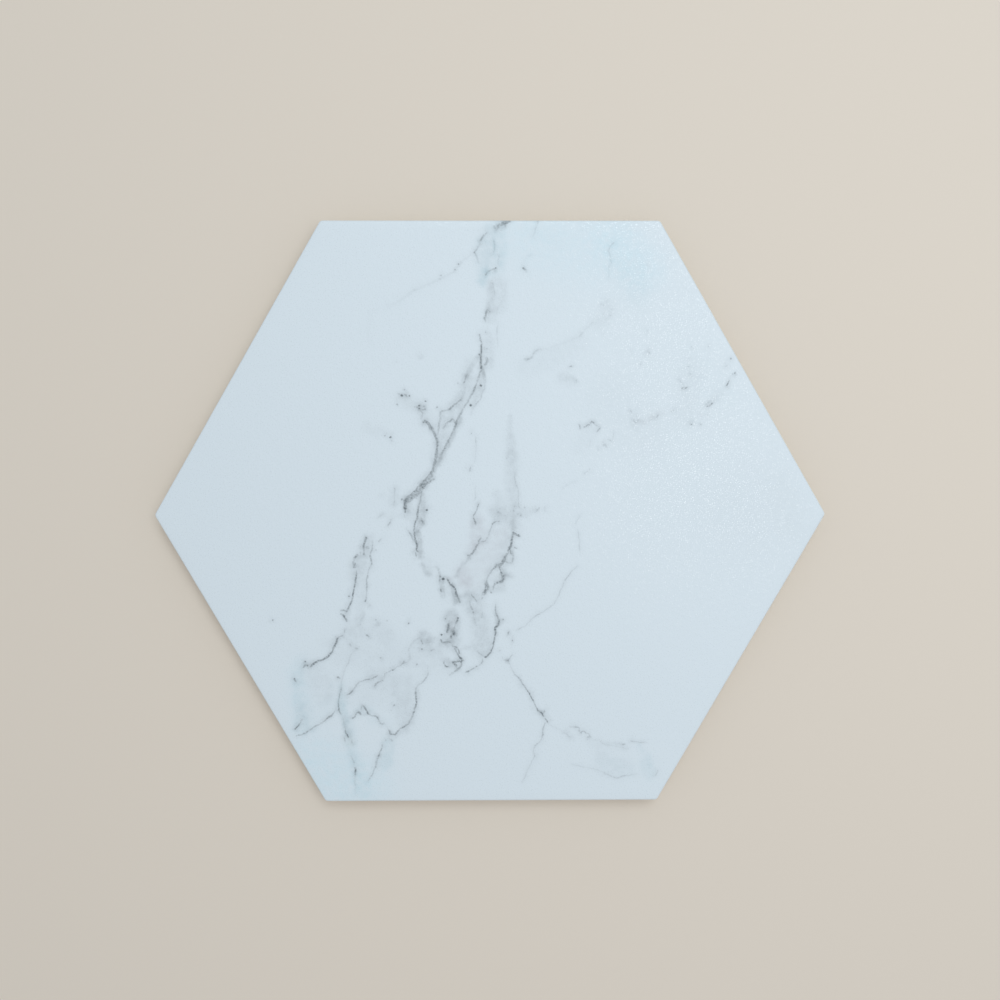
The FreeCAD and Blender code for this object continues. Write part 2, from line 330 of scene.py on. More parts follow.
        (.55, [(-51.7, -33.1, .4), (-50.6, -33.1, .85), (-49.8, -33.4, .5)]),
        (.7, [(-51.7, -34.4, .5), (-50.7, -35, .92), (-50.4, -36, .8), (-49.9, -36.7, .55)]),
        (.5, [(-40.7, -8.9, .2), (-40.7, -10.9, .5), (-41.1, -12.5, .5), (-41.7, -14.2, .55),
              (-41.1, -15.6, .78), (-41.1, -16.9, .5)]),
        (.7, [(-41.1, -16.9, .3), (-41.9, -18.2, .32)]),
        (.5, [(-41.9, -18.2, .3), (-42.3, -20.3, .4), (-42.9, -22.5, .6), (-42.8, -24.7, .7),
              (-43, -26.8, .35), (-42.9, -28.8, .5), (-43.4, -29.9, .8)]),
        (.7, [(-38.4, -9.1, .4), (-37.5, -8.2, .25)]),
    ],
    "lower left thread": [
        (.4, [(-50.5, -39.6, .4), (-50.7, -40.8, .3)]),
        (.5, [(-51.3, -41.8, .6), (-52.4, -42.1, .4), (-53, -42.8, .7)]),
        (.64, [(-53, -42.8, .92), (-54.1, -45.5, .88), (-54.7, -47, .8),
               (-55.6, -48.2, .88),
               (-56.5, -49.1, .82), (-57.5, -49.9, .88), (-58.5, -50.3, .82), (-59.9, -50.6, .92),
               (-60.9, -51.2, .97), (-61.8, -52, .9), (-62.6, -52.7, .5)]),
        (.58, [(-63.4, -52.1, .77), (-64.2, -52, .72), (-65, -52.7, .55)]),
        (.65, [(-68, -56.7, .75), (-67.4, -57.8, .55)]),
        (.4, [(-48.7, -44.7, .5), (-48.4, -45.4, .6)]),
        (.55, [(-46.7, -46.2, .6), (-46.2, -46.2, .4)]),
        (.48, [(-42.9, -41.7, .65), (-42.2, -42.2, .6)]),
        (.55, [(-30.5, -51.4, .9), (-30.2, -50.8, .65)]),
        (.55, [(-53.1, -56.5, .8), (-52.5, -56.6, .45)]),
    ],
    "bottom left net": [
        (.38, [(-46.2, -46.4, .2), (-48.4, -48.3, .2), (-49.4, -51.4, .4),
               (-50.4, -52.8, .2), (-51.1, -55, .3), (-51.8, -57.8, .25), (-52.1, -60.7, .4)]),
        (.46, [(-52.1, -60.7, .4), (-52.7, -63.2, .6), (-52.9, -65.1, .55), (-52.9, -66.7, .85),
               (-52.9, -67.7, .9), (-52.1, -69.2, .55)]),
        (.6, [(-54, -68.2, .3), (-55.6, -69.8, .73), (-56.8, -70.7, .6)]),
        (.42, [(-56.8, -70.7, .63), (-57.8, -71.6, .55), (-59.7, -72.7, .45), (-61.7, -74, .55),
               (-63.5, -75.1, .65), (-64.3, -75.8, .76), (-66.2, -76.4, .5), (-67.4, -76.7, .55)]),
        (.52, [(-65.6, -70.7, .35), (-66, -71.9, .5), (-66.7, -73, .75), (-67.9, -74.3, 1)]),
        (.55, [(-49.8, -62.5, .5), (-48.8, -62, .75), (-48, -61.1, .5)]),
        (.43, [(-48, -61.1, .55), (-46.1, -58.4, .5), (-44.8, -57.6, .4), (-43.3, -57.1, .7), (-42, -57, .73),
               (-40.7, -56.6, .68), (-39.4, -55.8, .6)]),
        (.5, [(-40.3, -59.6, .5), (-39.7, -58.5, .63), (-38.7, -57.9, .45), (-37.7, -57.4, .5)]),
        (.43, [(-37, -56.2, .3), (-36.7, -55, .35), (-35.2, -54.4, .35), (-34.3, -53.9, .5),
               (-32.4, -52.8, .3),
               (-30.7, -51.6, .5), (-28.9, -51, .35)]),
        (1, [(-28.5, -50.5, .2), (-27.9, -50, .24), (-28.4, -47.3, .21), (-27.7, -45.3, .22),
               (-26.7, -43.8, .22), (-24.9, -42.5, .25)]),
        (.5, [(-24.1, -43.8, .85), (-23.8, -44.7, .6)]),
        (.55, [(-20.7, -47.1, .5), (-19.8, -46.7, .3)]),
        (.35, [(-51.2, -70.7, .3), (-50.8, -73.7, .3), (-50.6, -75, .4)]),
        (.58, [(-50.6, -75, .4), (-50.3, -75.9, .8), (-50, -76.6, 1), (-49.7, -77.3, .6)]),
        (.6, [(-51.2, -77.5, .35), (-50.7, -78.7, .4)]),
        (.55, [(-48.5, -78.3, .4), (-48.3, -79.3, .5)]),
        (.48, [(-48.8, -83.7, .35), (-48.1, -85.2, .35), (-47.6, -86.4, .5)]),
        (.72, [(-47.3, -88.2, .6), (-47.2, -89.2, .9), (-47.3, -90.3, .5)]),
        (.4, [(-47.3, -90.3, .5), (-47.4, -91.7, .3), (-47.4, -93.5, .35), (-47.2, -94.6, .3),
              (-47.1, -97.7, .1)]),
        (.52, [(-48.1, -70.7, .7), (-47.1, -69.9, .6), (-46.5, -68.7, .4)]),
        (.62, [(-46, -68.6, .8), (-45.1, -69.4, .75)]),
        (.36, [(-45.2, -67.7, .5), (-44.9, -66.3, .5), (-44.2, -66.4, .4)]),
        (.55, [(-44.2, -66.4, .5), (-43.7, -67.4, .92), (-43.2, -68.1, .65), (-42.8, -68.9, .8)]),
        (.5, [(-42.8, -68.9, .7), (-41.6, -69.7, .4), (-40, -69.9, .6), (-39.4, -70.3, .73),
              (-38.8, -71.6, .35)]),
        (.55, [(-38.8, -71.6, .35), (-38, -72.9, .6), (-37.2, -72.5, .4)]),
        (.52, [(-35.8, -74.2, .25), (-35.2, -75.9, .6)]),
    ],
    "bottom thread": [
        (.52, [(-21.9, -52.8, .25), (-21.8, -54.5, .3), (-22.1, -55.6, .4), (-22.9, -57.1, .5),
               (-24.1, -58.3, .34), (-25.4, -59.3, .34), (-26, -60.3, .46), (-26.1, -61.8, .5)]),
        (.62, [(-26.1, -61.8, .5), (-25.9, -65, .8), (-26.1, -66.5, .8), (-26.7, -68, .7),
               (-27.2, -69.7, .62), (-27.8, -71.2, .5), (-28.9, -72.7, .45), (-30.4, -73.7, .76),
               (-31.9, -74.6, .42), (-32.5, -75.4, .7), (-33.2, -76.4, .67), (-34.4, -76.4, .6),
               (-35.4, -76, .67), (-35.4, -75.1, .34)]),
        (.55, [(-34.5, -78.6, .5), (-35.4, -77.7, .25)]),
        (.52, [(-37.8, -80, .45), (-38.1, -81.2, .5), (-39.2, -84, .76)]),
        (.8, [(-39.2, -84, .4), (-39.9, -85.7, .45), (-40.1, -87.7, .4)]),
        (.55, [(-40.1, -87.7, .4), (-41.7, -91.1, .46), (-42.9, -92.7, .3)]),
    ],
    "faint flecks at the right": [
        (.5, [(30.3, 30.9, .4), (30.8, 29.8, .85), (30.7, 29.4, .65)]),
        (.45, [(32, 30.1, .5), (33, 30.5, .68), (33.9, 30.6, .6)]),
        (.5, [(34.1, 31.3, .68), (34.6, 31.9, .6), (35.3, 31.5, .68), (36, 30.8, .4), (37.1, 30.1, .28)]),
        (.55, [(36.5, 28.5, .5), (37.1, 29.2, .55), (37.5, 29.7, .34)]),
        (.75, [(38.5, 23.6, .28), (39.2, 23.9, .35), (39.7, 23.2, .35)]),
        (.6, [(40.2, 25.6, .28), (41.1, 25.1, .3)]),
        (.4, [(42.1, 28, .28), (42, 26.5, .2)]),
        (.38, [(34.1, 25.2, .2), (34, 23.8, .16)]),
        (.4, [(36.9, 23.4, .28), (36.8, 22, .2)]),
        (.38, [(32.1, 14.1, .33), (33, 14.6, .3), (33.9, 15.4, .25)]),
        (.35, [(47.7, 35.5, .5), (48.5, 34.6, .2)]),
        (.46, [(49.1, 32.9, .33), (49.1, 32.1, .46), (49.7, 31.3, .5)]),
        (.32, [(49.8, 34, .28), (50, 33.2, .22)]),
        (.5, [(56.8, 33, .5), (57.3, 33.9, .43)]),
        (.36, [(54.2, 31.9, .2), (55.6, 32.8, .2)]),
        (.45, [(62, 35.3, .3), (62.9, 35.8, .3)]),
        (.35, [(72, 34.4, .28), (72.2, 33.4, .2)]),
        (.4, [(74.3, 34.2, .28), (74.6, 33.4, .2)]),
        (.42, [(65.5, 43.1, .68), (66, 43.2, .62)]),
        (.46, [(66.8, 43.1, .8), (67.5, 43.3, .45)]),
        (.6, [(64.4, 46.2, .27), (65, 45.3, .3), (66, 44.6, .25)]),
        (.4, [(68.2, 48.1, .35), (68.4, 47.3, .2)]),
        (.54, [(74.1, 37, .55), (74.9, 37.2, .55), (75.5, 37.8, .75), (75.9, 38.2, 1)]),
        (.35, [(76.7, 39.2, .14), (78.3, 41.2, .11)]),
        (.43, [(80.7, 44, .88), (81.2, 44.8, .9), (81.7, 45.9, .65)]),
        (.5, [(80.3, 50.6, .38), (80.8, 50.9, .28)]),
        (.4, [(53.6, 55.6, .22), (54.5, 54.9, .28)]),
        (.65, [(27.7, 50.7, .58), (26.7, 50.5, .34)]),
        (.5, [(29.2, 46, .35), (29.5, 45.3, .43)]),
    ],
}

# Single flecks of ink: x, y, width and depth of ink.
FLECKS = [
    (3.7, 96.5, .8, .2), (1.6, 83.7, .5, .95), (-.3, 69.2, .5, .4), (-1.7, 62.3, .45, .3),
    (-3.9, 54.8, .5, .7), (-1.2, 56.8, .4, .4), (-10.9, 85.3, .5, .6), (-11.9, 83.3, .45, .5),
    (-16.9, 81.5, .65, .3), (-25.9, 76.5, .9, .16), (-32.1, 52.1, .8, .1), (37.6, 71.7, .9, .13),
    (53.5, 84.9, .75, .13), (36, 65.6, .4, .16), (37.6, 66.3, .4, .16), (38.6, 68.2, .4, .2),
    (39.5, 66.9, .35, .16), (41, 67.8, .5, .26), (41.4, 69.9, .5, .2), (40.2, 70.6, .5, .16),
    (39.9, 72.9, .6, .18), (38.4, 71.4, .5, .14), (38.8, 61.6, .4, .18), (53.3, 55.9, .4, .26),
    (54.3, 55.2, .45, .3), (54.1, 56.6, .35, .2), (53.4, 62.6, .35, .3), (51.5, 51.6, .35, .16),
    (47.9, 55.8, .35, .16), (-11.1, 45, .9, .2), (-3.5, 44.1, .6, .95), (-6.7, 37.4, .7, .8),
    (-30.4, 40.8, .65, .95), (-27.9, 40.6, .45, .75), (-29.3, 42.7, .4, .6), (-28.7, 41.1, .4, .5),
    (-31.1, 41.3, .4, .45), (-31.8, 41.5, .45, .2), (-31.9, 37.7, .55, .35), (-22.2, 38.8, .4, .75),
    (-24.5, 37.3, .5, .95), (-24.4, 36.3, .55, 1), (-22.5, 36.2, .4, .8), (-22.7, 37, .4, .55),
    (-25.2, 36.7, .4, .5), (-18.3, 36.7, .45, .65), (-26, 36.8, .55, .3), (-36.2, 27, .4, .55),
    (-34.3, 26.6, .6, .7), (-33.9, 25.2, .45, .37), (-22.9, 31.6, .7, .55), (-25.6, 5.6, .8, .3),
    (-30.6, 5.3, .75, .45), (-21.8, -18.2, .75, .14), (-22, 1.7, .7, .95), (-16.5, -22.2, .95, 1),
    (-15.7, -36, .4, .85), (-17.1, -41.7, .65, 1), (-14.7, -50.1, .35, .4), (4.2, -36.4, .35, .8),
    (7.4, -43.7, .4, .5), (-6.7, 27.9, .45, .4), (5.4, 19.3, .65, .25), (7.7, 1.3, .55, .4),
    (9.3, .2, .45, .5), (8.3, 2.6, .4, .3), (11.6, 2.3, .6, .3), (10.3, -.4, .5, .35),
    (12.3, -.9, .5, .2), (4.9, -.4, .65, .2), (-7.1, -15.4, .4, .5), (-.1, -26.8, .45, .6),
    (-3, -28.8, .9, .27), (3, -47.2, .4, .4), (33.5, -78.3, .4, .33), (-45, -13.1, .7, .24),
    (-39.6, -12.1, .85, .18), (-42.3, -11.4, 1.3, .24), (-48.9, -28, .45, .65), (-64.2, -50.7, .4, .77),
    (-75.2, -36.3, .42, .6), (-38.1, -49.5, .42, .43), (-34.2, -53.9, .42, .7), (-25.7, -52, .5, .43),
    (-28.5, -37.6, .4, .8), (-39.9, -36.3, .7, .3), (-35.9, -36.6, .7, .2), (-23.9, -46.6, .42, .73),
    (-36.6, -78.3, .5, .34), (-33.8, -66.2, .6, .42), (-34.6, -68, .75, .17), (38.6, 24.7, .5, .2),
    (50.4, 32.3, .4, .33), (52.2, 31.8, .4, .22), (68.4, 31.2, .35, .43), (68.9, 30.8, .45, .6),
    (69.4, 32, .35, .3), (72.1, 30.8, .45, .55), (67.6, 50.6, .5, .22), (74.5, 38.3, .5, .3),
    (83, 48, .35, .43), (83.7, 48.3, .5, .6), (81.8, 47, .3, .2), (80.2, 51.7, .35, .2),
    (82.2, 53.2, .55, .6), (51.3, 51.2, .4, .19), (68.6, 57.2, .35, .28), (74.6, 57.5, .35, .28),
    (67.7, 53.3, .4, .22),
]

# Soft clouds between the veins, by tint: width, strength and route of each. The sky clouds are partly painted
# shade, and the olive tint at the right corner is a painted reflection, as marked below.
CLOUDS = {
    "cool": [
        (6.5, .24, [(1, 98), (1.2, 90), (1.3, 84)]),
        (2.6, .2, [(4.2, 97), (4, 84)]),
        (6, .07, [(15, 96), (24, 92)]),
        (1, .3, [(1.4, 93.5), (1.4, 88)]),
        (4, .18, [(-3.2, 93), (-3.2, 80)]),
        (8, .07, [(43.5, 84), (49.5, 76)]),
        (3.4, .48, [(-1.8, 83), (-2.1, 81), (-2.3, 79.3)]),
        (10, .1, [(49, 81), (50, 74)]),
        (12, .05, [(69.5, 52), (79.5, 42)]),
        (4.5, .16, [(-65.5, -50), (-67.5, -56.5), (-66.5, -65), (-65.5, -71.5)]),
        (3, .12, [(-66.5, -56), (-66.5, -66.5)]),
        (1.8, .15, [(-55.5, -59.5)]),
        (4, .2, [(-52, -60), (-51, -66.5), (-49.2, -73.5), (-48.8, -83.5)]),
        (9, .06, [(-66, -62), (-67, -74)]),
        (2.6, .3, [(-52, -63.5), (-51.2, -68.5), (-50.2, -72.5), (-49.4, -76)]),
        (3.8, .2, [(-45.5, -68), (-42.5, -68)]),
        (8, .11, [(-64, -70.5), (-56, -66.5)]),
        (4, .1, [(-41, -71.5), (-36, -72.5)]),
        (5, .12, [(-36, -78.5), (-37, -86.5)]),
        (4.2, .28, [(-35.8, -80.5), (-36, -83.5), (-36.4, -86.5)]),
        (2, .2, [(51.5, -81), (53.5, -83), (55, -85), (55.5, -87.5)]),
        (1.8, .3, [(-49.2, -82.2)]),
        (5, .2, [(-47, -85.5), (-46, -91.5), (-44, -96.5)]),
        (6, .1, [(39.5, -86.5), (47.5, -89)]),
        (5, .26, [(54, -87), (55, -90)]),
    ],
    "rosy": [
        (2.4, .16, [(51, 31.6), (54, 32.2), (56.8, 34.3), (59.4, 34.5)]),
        # A wide faint warm tint over the right end of the face, where the sheen lamp's light falls.
        (34, .08, [(90, 2)]),
        (1.4, .15, [(-6.4, -1), (-6.4, -10)]),
        (5, .4, [(-4.6, -2.5), (-4.6, -9), (-6, -12)]),
        (7, .25, [(-3, -19), (1.4, -13), (4, -8)]),
        (4, .3, [(-10, -19), (-8.6, -24)]),
        (6, .15, [(-10.5, -20), (-6.6, -15), (-2.6, -10), (1, -6)]),
        (1.2, .15, [(-9, -20), (-8.8, -24)]),
        (5, .22, [(-7.5, -22.5), (-4.6, -25)]),
        (3, .3, [(-14, -23), (-8, -23.5)]),
        (2, .25, [(-12.8, -36), (-13.1, -39.5)]),
    ],
    "olive": [
        (4.5, .08, [(-29.5, 39), (-26.5, 38)]),
        # Painted reflection of the warm floor beside the right corner.
        (12, .06, [(100, 10), (105, -5)]),
        (2.4, .12, [(-48.4, -16), (-48.6, -21)]),
        (6, .06, [(-57.5, -44), (-52, -52)]),
        (3.6, .2, [(-50, -78.3), (-49.4, -79.7)]),
    ],
    # Pale cyan cast along the top and over the lower left corner: partly a printed tint, partly painted shade
    # that dims the top right where the sheen lamp's light spills.
    "sky": [
        (26, .2, [(15.5, 95), (33.5, 90)]),
        (16, .3, [(43.5, 92), (51.5, 84)]),
        (8, .12, [(-67.5, -54), (-65.5, -73.5)]),
        (22, .3, [(-61.5, -87.5), (-46, -95.5)]),
    ],
    "grey": [
        (3, .3, [(5.8, 99.5), (3.2, 98)]),
        (7, .06, [(-1.2, 95), (-1.2, 87)]),
        (2.6, .17, [(.3, 78.7), (.1, 74.7), (-.2, 71.7), (-1, 69.2)]),
        (5, .12, [(2.8, 78.7), (2.8, 70.7)]),
        (3.5, .12, [(0, 69.2), (.2, 66.7)]),
        (6, .06, [(37.5, 66), (40.5, 71)]),
        (3.5, .12, [(-.5, 61), (-.5, 51)]),
        (1.7, .25, [(-4.6, 53.8), (-6.1, 50.8), (-7.1, 48.8), (-8.1, 47.3)]),
        (2, .12, [(-24, 54)]),
        (7, .05, [(12, 50), (21.5, 54), (29.5, 58)]),
        (1.8, .35, [(-2.6, 47.8)]),
        (4, .1, [(-9, 48), (-7, 52)]),
        (3.8, .14, [(24.5, 47), (27.5, 46.2)]),
        (2.4, .15, [(-2.9, 46.8), (-3.5, 42.8), (-5.1, 39.8)]),
        (5, .17, [(-7, 46), (-10, 39.3), (-15, 33.8), (-17, 26.8), (-18.3, 19)]),
        (6, .08, [(-30, 39.8), (-24, 36.3), (-21.5, 31.8)]),
        (2.4, .06, [(-24.5, 37), (-23.5, 33.5), (-22, 31.5)]),
        (18, .035, [(41.5, 40), (51.5, 28)]),
        (9, .05, [(66.5, 34), (68.5, 48)]),
        (4, .05, [(74.5, 37), (77.5, 41)]),
        (5, .05, [(49.5, 32)]),
        (1.6, .13, [(7, 33.8), (6.7, 30), (6.7, 26.8)]),
        (3.2, .135, [(6.7, 26.8), (7, 23.8), (7.1, 19.8)]),
        (4.8, .14, [(7.1, 19.8), (7.4, 15.8), (7, 12), (7.3, 8), (7.6, 4), (7.3, 1)]),
        (1.6, .3, [(-10.1, 32.8), (-12.1, 28.8), (-14.4, 24.2), (-16.8, 20.6)]),
        (1.6, .3, [(-17.5, 19.4), (-18.5, 16.9), (-19.2, 15.4)]),
        (4, .07, [(-42, 30), (-38, 28)]),
        (6, .04, [(30.5, 23), (35.5, 30)]),
        (4, .1, [(-33.2, 8), (-33.5, 4)]),
        (3, .12, [(1.9, 7), (3.9, 2.6), (1.9, -.9)]),
        (2.5, .07, [(-37.4, 6.5)]),
        (3, .06, [(-37.5, 0), (-32, 0)]),
        (3, .14, [(-23.3, 6.5), (-23.3, 1), (-24, -3), (-25, -5)]),
        (1.8, .38, [(-25, -6.4), (-24.6, -8.9), (-24.2, -11.9), (-23.9, -14.4)]),
        (2.8, .16, [(-28.8, 5), (-28, 3), (-27.4, 0)]),
        (4, .13, [(.9, 1.1), (4.9, -2.9), (8.8, -4.4)]),
        (3, .12, [(10.8, .9), (14.8, 1.7)]),
        (5, .08, [(2, .5), (7.5, -1.5)]),
        (2, .176, [(7.8, -.9), (7.6, -2.9), (7.4, -4.9)]),
        (4, .12, [(-42, -8), (-44.8, -14), (-46.8, -22)]),
        (3.4, .08, [(-44.5, -13), (-44.7, -22), (-45.2, -31), (-45.8, -37)]),
        (5, .08, [(6, -8), (4, -14), (1.4, -19), (2.4, -25)]),
        (3, .158, [(6.4, -13.4), (6.2, -16.4)]),
        (1, .3, [(-7.6, -14.9), (-9, -16.7), (-10, -17.9), (-11, -19.7), (-12, -21.9)]),
        (3, .08, [(-22, -16), (-21, -21)]),
        (1.4, .25, [(-23.5, -16.9), (-23, -18.9), (-22.2, -20.7), (-20.8, -20.8)]),
        (3, .12, [(3.9, -18), (4.9, -22), (3.3, -25.5)]),
        (1.4, .25, [(5.1, -20.9), (6.5, -21.4)]),
        (5, .084, [(-16, -24), (-12.5, -29)]),
        (1.8, .16, [(-13, -26), (-12.4, -29.5)]),
        (1.4, .25, [(-10, -27.8), (-8, -27), (-6.1, -26.9)]),
        (7, .16, [(-6.5, -29), (-4.6, -35), (-3.5, -42), (-3, -47)]),
        (5, .05, [(-6, -30), (-2, -44)]),
        (1.5, .2, [(-42, -31.3)]),
        (1.2, .15, [(-44, -33.8), (-44.3, -35.8), (-45.3, -37.8)]),
        (4.5, .235, [(-13.6, -35.3), (-13.4, -42.8)]),
        (6, .12, [(-14, -36), (-14, -43.8)]),
        (1.8, .336, [(2.3, -35.3), (2.5, -37.4)]),
        (1.5, .3, [(-39.2, -37.8)]),
        (7, .1, [(-48, -40), (-41, -39), (-36, -41.5)]),
        (3.6, .3, [(-23.4, -41.6), (-21.3, -43.4)]),
        (1.6, .21, [(-19, -42.8)]),
        (2.6, .1, [(-16.8, -44.6), (-14.4, -44.2)]),
        (5, .11, [(-24, -45), (-19, -47)]),
        (12, .07, [(-50, -46), (-40, -50), (-30, -49), (-20, -50)]),
        (1.2, .15, [(-10, -46.6), (-7.5, -46.3)]),
        (3.6, .16, [(-14.5, -51.8), (-12, -52.6)]),
        (9, .09, [(-61.5, -54), (-57.5, -61.5)]),
        (6, .1, [(-41, -56.5), (-35, -58)]),
        (7, .06, [(-30, -58), (-29, -69.5)]),
        (9, .06, [(-47, -62), (-38, -63), (-29, -61)]),
        (1.6, .2, [(-34.1, -62.3)]),
        (6, .1, [(-31, -66), (-30, -71.5)]),
        (5, .08, [(-65.5, -67.5), (-64.5, -72.5)]),
        (2.2, .14, [(-50.8, -70.7), (-49.6, -75.7)]),
        (2.8, .1, [(-29.4, -75.1), (-34.3, -77)]),
        (2.6, .08, [(26, -76), (28.3, -78)]),
        (3.2, .05, [(35, -80), (46.5, -81.3)]),
        (3, .06, [(37.5, -82), (37.8, -87)]),
        (3, .05, [(39.3, -84), (40.2, -85)]),
        (6, .06, [(43, -88), (46, -87.5)]),
    ],
}


def linear(red, green, blue):
    """A colour written as a screen shows it, in the numbers that a shader takes."""
    shares = [level / 255.0 for level in (red, green, blue)]
    return tuple(s / 12.92 if s <= 0.04045 else ((s + 0.055) / 1.055) ** 2.4 for s in shares)


def length(name, description, default, low, high):
    """A property for a small length, given in millimetres."""
    return bpy.props.FloatProperty(name=name, description=description, default=default * MM, min=low * MM,
                                   max=high * MM, precision=5, unit="LENGTH")


def paint(name, description, *levels):
    """A property for a colour, given as a screen shows it."""
    return bpy.props.FloatVectorProperty(name=name, description=description, subtype="COLOR",
                                         default=linear(*levels))


class TileSizes(bpy.types.PropertyGroup):
    """Sizes and colours of the tile"""
    arris_radius: length("Arris radius", "Rounding of the glazed edge", 0.7, 0.2, 0.79)
    glaze_lap: length("Glaze lap", "How far the glaze runs down the sides below the arris", 1.5, 0.2, 3.0)
    vein_spacing: length("Vein spacing", "Spacing of the face's points beside a vein", 0.22, 0.15, 1.0)
    vein_wander: length("Vein wander", "How far a vein strays from its route", 0.16, 0.0, 1.0)
    glaze_colour: paint("Glaze", "White of the glaze", 211, 224, 233)
    ink_colour: paint("Vein ink", "Darkest ink of the veins", 84, 97, 105)
    cool_colour: paint("Cool cloud", "Blue-grey of the clouds", 146, 184, 197)
    rosy_colour: paint("Rosy cloud", "Warm grey of the clouds", 168, 170, 179)
    # Also the colour of the painted reflection at the right corner.
    olive_colour: paint("Olive cloud", "Green-grey of the clouds", 160, 170, 165)
    # Colour of the sky clouds: partly a printed cyan tint, partly painted shade at the top right.
    sky_colour: paint("Sky cloud", "Pale cyan of the widest clouds", 171, 219, 235)
    body_colour: paint("Bare body", "Fired body of the sides and back", 222, 216, 205)
    grit_colour: paint("Grit", "Darker grains in the bare body", 196, 188, 176)
    wash_colour: paint("Kiln wash", "Chalky wash on the lands of the back", 238, 236, 230)


class StageSizes(bpy.types.PropertyGroup):
    """Camera, floor and lights"""
    focal_length: bpy.props.FloatProperty(
        name="Focal length", description="The camera's lens, in millimetres", default=31.29, min=10.0)
    camera_place: bpy.props.FloatVectorProperty(
        name="Camera", description="The camera's place, nearly straight above the tile",
        default=(0.000919, 0.017218, 0.30737), precision=5, subtype="TRANSLATION")
    camera_turn: bpy.props.FloatVectorProperty(
        name="Camera turn", description="The camera's small turns away from looking straight down",
        default=[math.radians(turn) for turn in (-2.3475, -0.4321, -0.084)], subtype="EULER")
    floor_size: bpy.props.FloatProperty(
        name="Floor size", description="Length of the floor's sides", default=6.0, min=1.0, unit="LENGTH")
    floor_colour: paint("Floor", "Plain colour of the floor", 222, 214, 203)
    sheen_power: bpy.props.FloatProperty(
        name="Sheen lamp", description="Lamp whose sheen falls on the right half", default=1.0, min=0.0,
        unit="POWER")
    shade_power: bpy.props.FloatProperty(
        name="Shade lamp", description="Lamp that throws the soft shadow below", default=4.6, min=0.0,
        unit="POWER")
    room_light: bpy.props.FloatProperty(
        name="Room light", description="Even light from the whole room", default=0.62, min=0.0)


class Wire:
    """A number that a shader's socket gives. An expression on wires adds its Math nodes."""

    def __init__(self, finish, socket):
        self.finish = finish
        self.socket = socket

    def _math(self, operation, first, second):
        return self.finish.node("ShaderNodeMath", {"operation": operation}, Value=first, Value_001=second)

    def __add__(self, other):
        return self._math("ADD", self, other)

    __radd__ = __add__

    def __sub__(self, other):
        return self._math("SUBTRACT", self, other)

    def __rsub__(self, other):
        return self._math("SUBTRACT", other, self)

    def __mul__(self, other):
        return self._math("MULTIPLY", self, other)

    __rmul__ = __mul__

    def __pow__(self, power):
        return self._math("POWER", self, power)

    def at_least(self, low):
        return self._math("MAXIMUM", self, low)

    def at_most(self, high):
        return self._math("MINIMUM", self, high)

    def between(self, low, high):
        """Rises smoothly from 0 at low to 1 at high."""
        return self.finish.node("ShaderNodeMapRange", {"interpolation_type": "SMOOTHSTEP"}, Value=self,
                                From_Min=low, From_Max=high)


class Finish:
    """The node tree of one material or world."""

    def __init__(self, owner):
        self.owner = owner
        owner.use_nodes = True
        self.tree = owner.node_tree
        self.tree.nodes.clear()

    def node(self, kind, settings, output=0, **sockets):
        """Adds a node, sets it up, fills its sockets with values or wires, and gives one output."""
        made = self.tree.nodes.new(kind)
        for name, value in settings.items():
            setattr(made, name, value)
        for name, value in sockets.items():
            known = (name, name.replace("_", " "))
            socket = next(s for s in made.inputs if s.identifier in known)
            if isinstance(value, Wire):
                self.tree.links.new(value.socket, socket)
            else:
                socket.default_value = value
        return Wire(self, made.outputs[output])

    def blend(self, first, second, share):
        """Goes from one colour to another as the share goes from 0 to 1."""
        return self.node("ShaderNodeMix", {"data_type": "RGBA"}, output=2, Factor_Float=share,
                         A_Color=first, B_Color=second)

    def noise(self, place, size, detail=2.0):
        """Soft noise whose cells have the given size in millimetres."""
        return self.node("ShaderNodeTexNoise", {}, Vector=place, Scale=1.0 / (size * MM), Detail=detail)

    def uneven(self, place, size, detail, contrast):
        """A share that varies softly about 1."""
        return 1.0 + (self.noise(place, size, detail) - 0.5) * contrast

    def cells(self, place, size):
        """How far a place lies from the middle of its cell, as a share of the size in millimetres."""
        return self.node("ShaderNodeTexVoronoi", {"feature": "F1"}, Vector=place, Scale=1.0 / (size * MM))

    def mark(self, name):
        """A number stored at the mesh's points."""
        return self.node("ShaderNodeAttribute", {"attribute_name": name}, output=2)

    def end(self, kind, surface):
        """Leads the tree's result to its output."""
        self.tree.links.new(surface.socket, self.tree.nodes.new(kind).inputs["Surface"])


def opaque(colour):
    """A colour with the last number that a socket wants."""
    return (*colour, 1.0)


def side_profile(solid):
    """Heights and insets of the side's section, read from the solid at the side where y is largest."""
    places = np.array([vertex.co for vertex in solid.data.vertices])
    x, y, z = places.T
    reach, top = y.max(), z.max()
    land = z[y > reach - TINY]
    root = z[(np.hypot(x, y) < reach / 2.0) & (z < top / 2.0)].max()
    bevel_start = y[np.abs(z - root) < TINY].max()
    below = (z > root) & (z < land.min())
    bulge = (y[below] - bevel_start) * (land.min() - root) - (z[below] - root) * (reach - bevel_start)
    bevel_end = places[below][bulge.argmax()]
    return {
        "reach": reach,
        "top": top,
        "root": root,
        "bevel_start": (reach - bevel_start, root),
        "bevel_end": (reach - bevel_end[1], bevel_end[2]),
        "land_foot": (0.0, land.min()),
        "land_top": land.max(),
        "shoulder_width": reach - y[z > top - TINY].max(),
        "corner_radius": (reach / ROW - x.max()) / (1.0 / ROW - 1.0),
    }


def around(angle):
    """The place at an angle on a circle of radius 1."""
    return np.array([math.cos(angle), math.sin(angle)])


